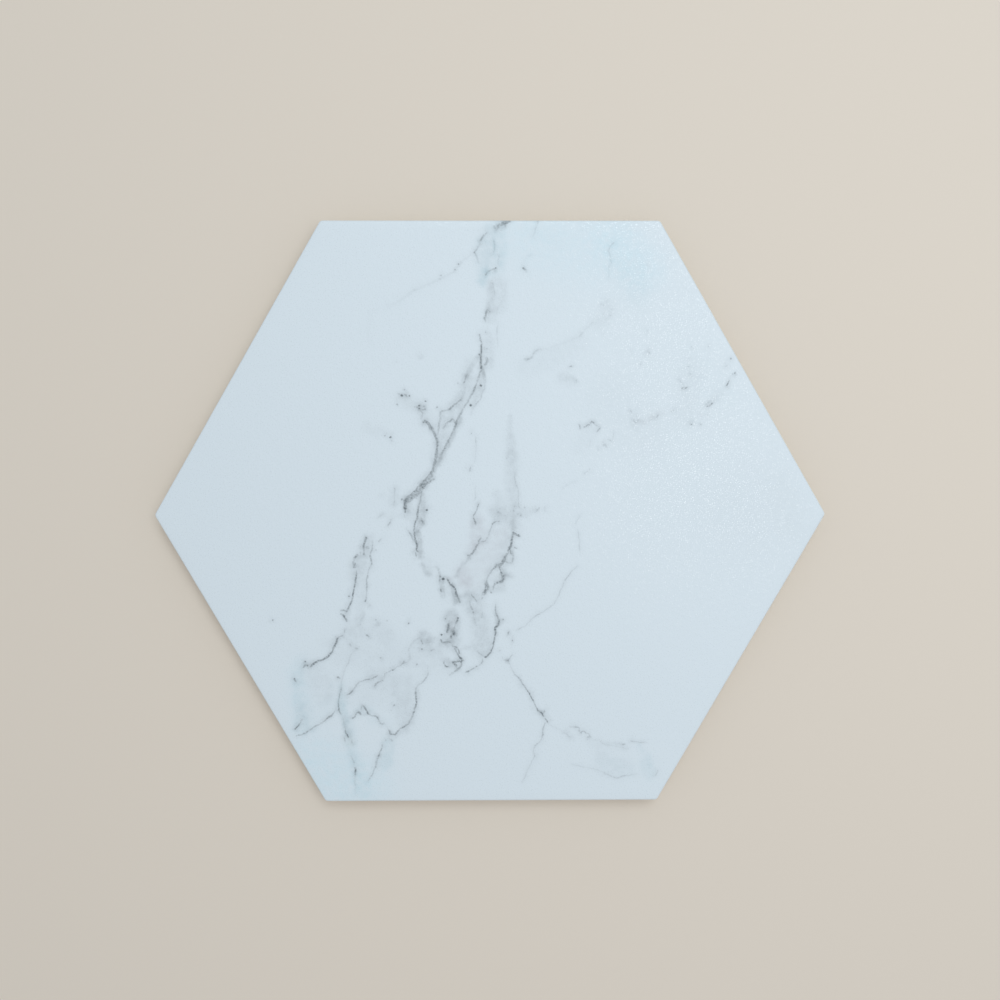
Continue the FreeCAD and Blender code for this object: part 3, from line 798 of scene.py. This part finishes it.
def outline(profile, inset, closer):
    """Points of the tile's outline, moved in by an inset: straight sides between rounded corners."""
    radius = max(profile["corner_radius"] - inset, 0.0)
    corner_reach = (profile["reach"] - inset - radius) / ROW
    corner_steps, side_steps = CORNER_STEPS * closer, SIDE_STEPS * closer
    points = []
    for side in range(SIDES):
        corner = SIXTH * side
        centre = corner_reach * around(corner)
        next_centre = corner_reach * around(corner + SIXTH)
        side_start = centre + radius * around(corner + SIXTH / 2.0)
        for step in range(corner_steps):
            points.append(centre + radius * around(corner - SIXTH / 2.0 + SIXTH * step / corner_steps))
        for step in range(side_steps):
            points.append(side_start + (next_centre - centre) * step / side_steps)
    return np.array(points)


def depth_inside(profile, points):
    """Distance of each point inside the rounded outline."""
    radius = profile["corner_radius"]
    inner = profile["reach"] - radius
    turned = np.arctan2(points[:, 1], points[:, 0]) % SIXTH - SIXTH / 2.0
    distance = np.hypot(points[:, 0], points[:, 1])
    across = distance * np.cos(turned)
    along = np.abs(distance * np.sin(turned))
    past_side = np.maximum(across - inner, 0.0)
    past_corner = np.maximum(along - inner * math.tan(SIXTH / 2.0), 0.0)
    return np.where(across < inner, profile["reach"] - across, radius - np.hypot(past_side, past_corner))


def face_section(profile, arris_radius):
    """Rounded arris and shoulder of the face, as the solid has them."""
    rise = profile["top"] - profile["land_top"]
    across = profile["shoulder_width"] - arris_radius
    shoulder_radius = (across ** 2 + rise ** 2 - arris_radius ** 2) / (2.0 * (rise - arris_radius))
    up = math.sqrt((shoulder_radius - arris_radius) ** 2 - across ** 2)
    slope = math.atan2(across, up)

    def arris(share):
        lean = math.pi / 2.0 + (slope - math.pi / 2.0) * share
        return arris_radius * (1.0 - math.sin(lean)), profile["land_top"] + arris_radius * math.cos(lean)

    def height(depth):
        past = np.maximum(profile["shoulder_width"] - depth, 0.0)
        return profile["top"] - shoulder_radius + np.sqrt(shoulder_radius ** 2 - past ** 2)

    return arris, height


def smoothly(share):
    """Eases a share from 0 to 1 at both of its ends."""
    share = np.clip(share, 0.0, 1.0)
    return share * share * (3.0 - 2.0 * share)


def wander(x, y, cell, seed):
    """Smooth noise from -1 to 1 over the face, in cells of the given size in millimetres."""
    half = int(max(np.abs(x).max(), np.abs(y).max()) / cell) + 2
    values = np.random.default_rng(seed).uniform(-1.0, 1.0, (2 * half, 2 * half))
    column = np.floor(x / cell).astype(int)
    row = np.floor(y / cell).astype(int)
    right = smoothly(x / cell - column)
    up = smoothly(y / cell - row)
    column = column + half
    row = row + half
    low = values[row, column] * (1.0 - right) + values[row, column + 1] * right
    high = values[row + 1, column] * (1.0 - right) + values[row + 1, column + 1] * right
    return low * (1.0 - up) + high * up


def beside(route, x, y):
    """Distance to each run of a route, and the depth there. A route of one point is a run of its own."""
    for start, end in list(zip(route, route[1:])) or [(route[0], route[0])]:
        along_x, along_y = end[0] - start[0], end[1] - start[1]
        share = (x - start[0]) * along_x + (y - start[1]) * along_y
        share = np.clip(share / max(along_x ** 2 + along_y ** 2, TINY), 0.0, 1.0)
        gap = np.hypot(x - start[0] - share * along_x, y - start[1] - share * along_y)
        yield gap, start[2] + (end[2] - start[2]) * share


def crisp(gap, width, ink):
    """Shows a mark with a definite edge, narrower where its ink is faint."""
    half = width / 2.0 * (FAINT_WIDTH + (1.0 - FAINT_WIDTH) * ink)
    return smoothly((half + INK_EDGE - gap) / (2.0 * INK_EDGE))


def soft(gap, width, strength):
    """Shows a mark that fades away on all sides."""
    return np.exp(-(gap / (CLOUD_EDGE * width)) ** 3)


def within(gap, width, depth):
    """Shows whether a place lies within a mark's width."""
    return gap < width / 2.0


class Face:
    """Places on the face in millimetres, in rows, so that a mark only visits those beside it."""

    def __init__(self, x, y, strays=()):
        moved_x, moved_y = x, y
        for seed, (cell, distance) in enumerate(strays):
            moved_x = moved_x + distance * wander(x, y, cell, 2 * seed)
            moved_y = moved_y + distance * wander(x, y, cell, 2 * seed + 1)
        self.order = np.argsort(moved_y, kind="stable")
        self.x = moved_x[self.order]
        self.y = moved_y[self.order]

    def near(self, route, margin):
        """Indices of the places within a route's box and its margin."""
        x = [point[0] for point in route]
        y = [point[1] for point in route]
        first, last = np.searchsorted(self.y, (min(y) - margin, max(y) + margin))
        row = self.x[first:last]
        return first + np.flatnonzero((row > min(x) - margin) & (row < max(x) + margin))

    def shows(self, marks, look):
        """How deep the marks are printed at each place, one over another."""
        bare = np.ones(len(self.x))
        for width, route in marks:
            here = self.near(route, CLOUD_REACH * width + INK_EDGE)
            deepest = np.zeros(len(here))
            for gap, depth in beside(route, self.x[here], self.y[here]):
                deepest = np.maximum(deepest, depth * look(gap, width, depth))
            bare[here] *= 1.0 - deepest
        given = np.empty_like(bare)
        given[self.order] = 1.0 - bare
        return given


def all_veins():
    return [vein for part in VEINS.values() for vein in part]


def all_flecks():
    return [(width, [(x, y, ink)]) for x, y, width, ink in FLECKS]


def clouds_of(name):
    return [(width, [(x, y, CLOUD_DEPTH * strength) for x, y in route])
            for width, strength, route in CLOUDS[name]]


def haze():
    """The faint haze around each vein and fleck."""
    return [(width + HAZE_WIDTH, [(x, y, HAZE_DEPTH * ink) for x, y, ink in route])
            for width, route in all_veins() + all_flecks()]


def lattice(profile, spacing, margin):
    """Places for the face's points: close beside a vein, wider in its haze, and widest elsewhere."""
    vein_border, haze_border, cloud_stretch = 0.7, 2.0, 1.6
    pitch = spacing / MM
    reach = profile["reach"] / MM
    rows = int(reach / (pitch * ROW)) + 1
    columns = int(reach / ROW / pitch) + rows
    row, column = np.indices((2 * rows + 1, 2 * columns + 1)).reshape(2, -1)
    row, column = row - rows, column - columns
    places = pitch * np.stack([column + row / 2.0, row * ROW], 1)
    depth = depth_inside(profile, places * MM)
    inside = depth > margin
    row, column, places, depth = row[inside], column[inside], places[inside], depth[inside]
    face = Face(*places.T)
    inked = all_veins() + all_flecks()

    def covered(marks, stretch, extra):
        return face.shows([(width * stretch + extra, route) for width, route in marks], within) > 0.0

    def every(count):
        return (row % count == 0) & (column % count == 0)

    clouds = [cloud for name in CLOUDS for cloud in clouds_of(name)]
    kept = covered(inked, 1.0, vein_border) | covered(inked, 1.0, haze_border) & every(2)
    kept |= covered(clouds, cloud_stretch, 0.0) & every(4) | every(8)
    return places[kept] * MM, depth[kept]


def glazed_shell(profile, sizes):
    """Sides and face of the tile: its points, and its faces as lists of points."""
    arris_steps, shoulder_steps = 6, 6
    band_below_arris = 0.4 * MM
    edge_margin, ring_margin = 0.12 * MM, 0.1 * MM
    arris, height = face_section(profile, sizes.arris_radius)
    points = []
    faces = []

    def ring(inset, level, closer):
        """Adds a ring of points and gives their numbers."""
        start = sum(len(part) for part in points)
        loop = outline(profile, inset, closer)
        points.append(np.column_stack([loop, np.full(len(loop), level)]))
        return np.arange(start, start + len(loop))

    def join(lower, upper):
        """Joins two rings; the upper has as many points, or several for each of the lower."""
        closer = len(upper) // len(lower)
        for index in range(len(lower)):
            here, after = lower[index], lower[(index + 1) % len(lower)]
            above = [upper[(index * closer + step) % len(upper)] for step in range(closer + 1)]
            faces.append([here, after, *reversed(above)])

    levels = [
        (*profile["bevel_start"], 1),
        (*profile["bevel_end"], 1),
        (*profile["land_foot"], 1),
        (0.0, profile["land_top"] - band_below_arris, 1),
    ]
    levels += [(*arris(step / arris_steps), FACE_STEPS) for step in range(arris_steps + 1)]
    rings = [ring(*level) for level in levels]
    for lower, upper in zip(rings, rings[1:]):
        join(lower, upper)

    rim = rings[-1]
    arris_end = arris(1.0)[0]
    insets = np.linspace(arris_end, profile["shoulder_width"], shoulder_steps + 1)
    scattered, depth = lattice(profile, sizes.vein_spacing, arris_end + edge_margin)
    clear = np.abs(depth[:, None] - insets).min(1) > ring_margin
    shoulder = [outline(profile, inset, FACE_STEPS) for inset in insets[1:]]
    plan = np.concatenate([points[-1][:, :2], *shoulder, scattered[clear]])
    boundary = [(index, (index + 1) % len(rim)) for index in range(len(rim))]
    inside_only, nearest = 1, 1e-5
    found, _, triangles, source, _, _ = delaunay_2d_cdt(
        [Vector(place) for place in plan / MM], boundary, [], inside_only, nearest)
    found = np.array(found) * MM
    number = np.arange(len(found)) + sum(len(part) for part in points)
    for index, cames in enumerate(source):
        for came in cames:
            if came < len(rim):
                number[index] = rim[came]
    points.append(np.column_stack([found, height(depth_inside(profile, found))]))
    faces.extend([number[corner] for corner in triangle] for triangle in triangles)
    return np.concatenate(points), faces


def keyed_back(solid, root):
    """The back of the solid: its lands and the plane between them, with evenly divided sides."""
    back = bmesh.new()
    back.from_mesh(solid.data)
    bmesh.ops.remove_doubles(back, verts=back.verts, dist=TINY)
    above = [f for f in back.faces if max(v.co.z for v in f.verts) > root + TINY]
    bmesh.ops.delete(back, geom=above, context="FACES")
    rim = [edge for edge in back.edges if edge.is_boundary]
    bmesh.ops.subdivide_edges(back, edges=rim, cuts=SIDE_STEPS - 1)
    return back


def pressed_tile(solid, profile, sizes):
    """One closed mesh of the glazed shell and the keyed back."""
    sharp = math.radians(25.0)
    points, faces = glazed_shell(profile, sizes)
    mesh = bpy.data.meshes.new("glazed_tile")
    mesh.from_pydata(points.tolist(), [], faces)
    work = keyed_back(solid, profile["root"])
    work.from_mesh(mesh)
    low = [v for v in work.verts if v.co.z < profile["root"] + TINY]
    bmesh.ops.remove_doubles(work, verts=low, dist=2.0 * TINY)
    bmesh.ops.triangulate(work, faces=work.faces)
    bmesh.ops.recalc_face_normals(work, faces=work.faces)
    for face in work.faces:
        face.smooth = True
        face.material_index = 0
    for edge in work.edges:
        edge.smooth = edge.calc_face_angle(0.0) < sharp
    work.to_mesh(mesh)
    work.free()
    return mesh


def places_of(mesh):
    """The mesh's points, one in a row."""
    places = np.empty(len(mesh.vertices) * 3)
    mesh.vertices.foreach_get("co", places)
    return places.reshape(-1, 3)


def unwrap(mesh, profile):
    """Lays the face over most of the map, with the back and the six sides below it."""
    side_length = profile["reach"] / ROW
    face_scale = FACE_SHARE / (2.0 * side_length)
    back_scale = BACK_SHARE / (2.0 * side_length)
    side_scale = SIDE_SHARE / side_length
    height_scale = SIDE_FILL * SIDE_PITCH / profile["top"]
    corners = np.empty(len(mesh.loops), int)
    mesh.loops.foreach_get("vertex_index", corners)
    counts = np.empty(len(mesh.polygons), int)
    mesh.polygons.foreach_get("loop_total", counts)
    owner = np.repeat(np.arange(len(counts)), counts)
    x, y, z = places_of(mesh)[corners].T
    middle_x, middle_y, middle_z = [(np.bincount(owner, values) / counts)[owner] for values in (x, y, z)]
    side = np.floor(np.arctan2(middle_y, middle_x) % (2.0 * math.pi) / SIXTH)
    turn = (side + 0.5) * SIXTH
    along = y * np.cos(turn) - x * np.sin(turn)
    parts = [middle_z > profile["land_top"], middle_z < profile["root"] + TINY]
    u = np.select(parts, [FACE_MIDDLE[0] + x * face_scale, BACK_MIDDLE[0] - x * back_scale],
                  SIDE_MIDDLE[0] + along * side_scale)
    v = np.select(parts, [FACE_MIDDLE[1] + y * face_scale, BACK_MIDDLE[1] + y * back_scale],
                  SIDE_MIDDLE[1] + side * SIDE_PITCH + z * height_scale)
    layer = mesh.uv_layers.new(name="OFBake")
    layer.data.foreach_set("uv", np.stack([u, v], 1).ravel())


def store(mesh, name, values):
    """Stores a number at each of the mesh's points."""
    mesh.attributes.new(name, "FLOAT", "POINT").data.foreach_set("value", values.astype(np.float32))


def marble(mesh, profile, sizes):
    """Stores at the mesh's points how deep the veins and clouds are there."""
    x, y, z = places_of(mesh).T / MM
    stray = sizes.vein_wander / MM
    line_strays = [(1.2, stray), (0.45, 0.6 * stray)]
    cloud_strays = [(7.0, 1.6 * stray), (2.2, 1.8 * stray), (0.8, stray)]
    glazed = z > profile["land_top"] / 2.0 / MM
    face = Face(x, y, line_strays)
    veins = VEIN_DEPTH * face.shows(all_veins(), crisp) ** INK_FALL
    flecks = FLECK_DEPTH * face.shows(all_flecks(), crisp) ** INK_FALL
    store(mesh, "ink", np.maximum(veins, flecks) * glazed)
    sky = Face(x, y, cloud_strays)
    # The clouds include painted light: the sky clouds' painted shade at the top right and the olive painted
    # reflection at the right corner.
    for name in CLOUDS:
        clouds = clouds_of(name) + (haze() if name == "grey" else [])
        store(mesh, name, sky.shows(clouds, soft) * glazed)


def glazed_porcelain(sizes, profile):
    """Marbled satin glaze over the face and down to a wavy line, and the bare body below it."""
    finish = Finish(bpy.data.materials.new("glazed_porcelain"))
    place = finish.node("ShaderNodeTexCoord", {}, output="Object")
    height = finish.node("ShaderNodeSeparateXYZ", {}, output="Z", Vector=place)

    grain = finish.uneven(place, 0.6, 3.0, 4.2)
    mottle = finish.uneven(place, 2.3, 6.0, 2.6)
    dust = (1.0 - finish.cells(place, 0.9).between(0.14, 0.3)) * 0.7
    colour = opaque(sizes.glaze_colour)
    # These tints include the sky clouds' painted shade at the top right and the olive painted reflection at
    # the right corner.
    for name in CLOUDS:
        if name != "grey":
            cloud_colour = opaque(getattr(sizes, name + "_colour"))
            colour = finish.blend(colour, cloud_colour, finish.mark(name) * mottle)
    grey = finish.mark("grey")
    cover = 1.5
    bare = (1.0 - finish.mark("ink") * grain - grey * dust) * (1.0 - grey * mottle)
    colour = finish.blend(colour, opaque(sizes.ink_colour), 1.0 - bare.at_least(0.0) ** cover)

    lap = profile["land_top"] - sizes.glaze_lap
    wave = finish.noise(place, 9.0) * 0.9 * MM + finish.noise(place, 1.5) * 0.25 * MM
    glazed = (height - wave).between(lap - 0.65 * MM, lap - 0.5 * MM)
    speck = finish.noise(place, 0.35, 4.0)
    body = finish.blend(opaque(sizes.body_colour), opaque(sizes.grit_colour), speck.between(0.55, 0.75))
    on_land = (0.12 * MM - height).between(0.0, 0.1 * MM)
    chalky = on_land * finish.noise(place, 4.0, 4.0).between(0.35, 0.6) * 0.8
    body = finish.blend(body, opaque(sizes.wash_colour), chalky)

    satin, polished, fired = 0.6, 0.16, 0.85
    glaze_height = 0.05 * MM
    flake = 1.0 - finish.cells(place, 0.59).between(0.18, 0.34)
    glaze_roughness = satin - flake * (satin - polished)
    peel = finish.noise(place, 0.58, 1.0) * 0.032 * MM
    swell = finish.noise(place, 2.2) * 0.06 * MM
    relief = glazed * (glaze_height + peel + swell) + (1.0 - glazed) * speck * 0.06 * MM
    surface = finish.node(
        "ShaderNodeBsdfPrincipled", {}, Base_Color=finish.blend(body, colour, glazed),
        Roughness=fired + (glaze_roughness - fired) * glazed, IOR=1.5, Specular_IOR_Level=1.0,
        Normal=finish.node("ShaderNodeBump", {}, Height=relief, Strength=1.0, Distance=1.0))
    finish.end("ShaderNodeOutputMaterial", surface)
    return finish.owner


class TILE_OT_glazed_tile(bpy.types.Operator):
    """Presses and glazes the tile over its solid, with a marbled face"""
    bl_idname = "floor_tile.glazed_tile"
    bl_label = "Glazed tile"

    def execute(self, context):
        sizes = context.scene.tile_sizes
        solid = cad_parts["hexagon_tile"]
        profile = side_profile(solid)
        mesh = pressed_tile(solid, profile, sizes)
        unwrap(mesh, profile)
        marble(mesh, profile, sizes)
        mesh.materials.append(glazed_porcelain(sizes, profile))
        tile = bpy.data.objects.new("glazed_tile", mesh)
        context.scene.collection.objects.link(tile)
        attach(tile, "root")
        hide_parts("hexagon_tile")
        return {"FINISHED"}


def pale_floor(colour, size):
    """A plain floor that fades to white far away where the camera sees it."""
    half = size / 2.0
    fade_start = 0.25
    plane = bpy.data.meshes.new("floor")
    plane.from_pydata([(-half, -half, 0.0), (half, -half, 0.0), (half, half, 0.0), (-half, half, 0.0)],
                      [], [(0, 1, 2, 3)])
    finish = Finish(bpy.data.materials.new("plain_floor"))
    near = finish.node("ShaderNodeBsdfPrincipled", {}, Base_Color=opaque(colour), Roughness=0.9,
                       Specular_IOR_Level=0.1)
    far = finish.node("ShaderNodeEmission", {}, Color=opaque(WHITE), Strength=1.0)
    place = finish.node("ShaderNodeTexCoord", {}, output="Object")
    away = finish.node("ShaderNodeVectorMath", {"operation": "LENGTH"}, output="Value", Vector=place)
    seen = finish.node("ShaderNodeLightPath", {}, output="Is Camera Ray")
    surface = finish.node("ShaderNodeMixShader", {}, Fac=seen * away.between(fade_start, half / 2.0),
                          Shader=near, Shader_001=far)
    finish.end("ShaderNodeOutputMaterial", surface)
    plane.materials.append(finish.owner)
    return bpy.data.objects.new("floor", plane)


def soft_lamp(name, size, power, colour, place):
    """A lamp of a width and a length that hangs level above the floor."""
    lamp = bpy.data.lights.new(name, "AREA")
    lamp.shape = "RECTANGLE"
    lamp.size, lamp.size_y = size
    lamp.color = colour
    lamp.energy = power
    made = bpy.data.objects.new(name, lamp)
    made.location = place
    return made


def plain_room(light):
    """Even light all round, behind a white background."""
    finish = Finish(bpy.data.worlds.new("room"))
    kinds = ("Is Camera Ray", "Is Glossy Ray", "Is Transmission Ray")
    seen = sum(finish.node("ShaderNodeLightPath", {}, output=kind) for kind in kinds).at_most(1.0)
    background = finish.node("ShaderNodeBackground", {}, Color=opaque(WHITE),
                             Strength=light + seen * (1.0 - light))
    finish.end("ShaderNodeOutputWorld", background)
    return finish.owner


class TILE_OT_stage(bpy.types.Operator):
    """Sets the floor, the soft lamps, the room's light and the camera above the tile"""
    bl_idname = "floor_tile.stage"
    bl_label = "Stage"

    def execute(self, context):
        scene = context.scene
        sizes = scene.stage_sizes
        sheen_place, shade_place = (0.235, 0.135, 0.62), (0.15, 0.9, 1.4)
        lens = bpy.data.cameras.new("camera")
        lens.lens = sizes.focal_length
        lens.clip_start = 0.01
        camera = bpy.data.objects.new("camera", lens)
        camera.location = sizes.camera_place
        camera.rotation_euler = sizes.camera_turn
        floor = pale_floor(sizes.floor_colour, sizes.floor_size)
        lamps = [
            soft_lamp("sheen_lamp", (0.26, 0.5), sizes.sheen_power, WHITE, sheen_place),
            soft_lamp("shade_lamp", (0.6, 0.6), sizes.shade_power, DAYLIGHT, shade_place),
        ]
        for made in (floor, camera, *lamps):
            scene.collection.objects.link(made)
        scene.camera = camera
        scene.world = plain_room(sizes.room_light)
        scene.view_settings.view_transform = "Standard"
        return {"FINISHED"}


class TILE_PT_floor_tile(bpy.types.Panel):
    bl_label = "Floor tile"
    bl_idname = "TILE_PT_floor_tile"
    bl_space_type = "VIEW_3D"
    bl_region_type = "UI"
    bl_category = "Floor Tile"

    def draw(self, context):
        layout = self.layout
        for sizes in (context.scene.tile_sizes, context.scene.stage_sizes):
            for name in type(sizes).__annotations__:
                layout.prop(sizes, name)
        layout.operator("floor_tile.glazed_tile")
        layout.operator("floor_tile.stage")


CLASSES = (TileSizes, StageSizes, TILE_OT_glazed_tile, TILE_OT_stage, TILE_PT_floor_tile)


def register():
    for made in CLASSES:
        bpy.utils.register_class(made)
    bpy.types.Scene.tile_sizes = bpy.props.PointerProperty(type=TileSizes)
    bpy.types.Scene.stage_sizes = bpy.props.PointerProperty(type=StageSizes)


def unregister():
    del bpy.types.Scene.stage_sizes
    del bpy.types.Scene.tile_sizes
    for made in reversed(CLASSES):
        bpy.utils.unregister_class(made)


def main():
    register()
    bpy.ops.floor_tile.glazed_tile()
    bpy.ops.floor_tile.stage()


if __name__ == "__main__":
    main()
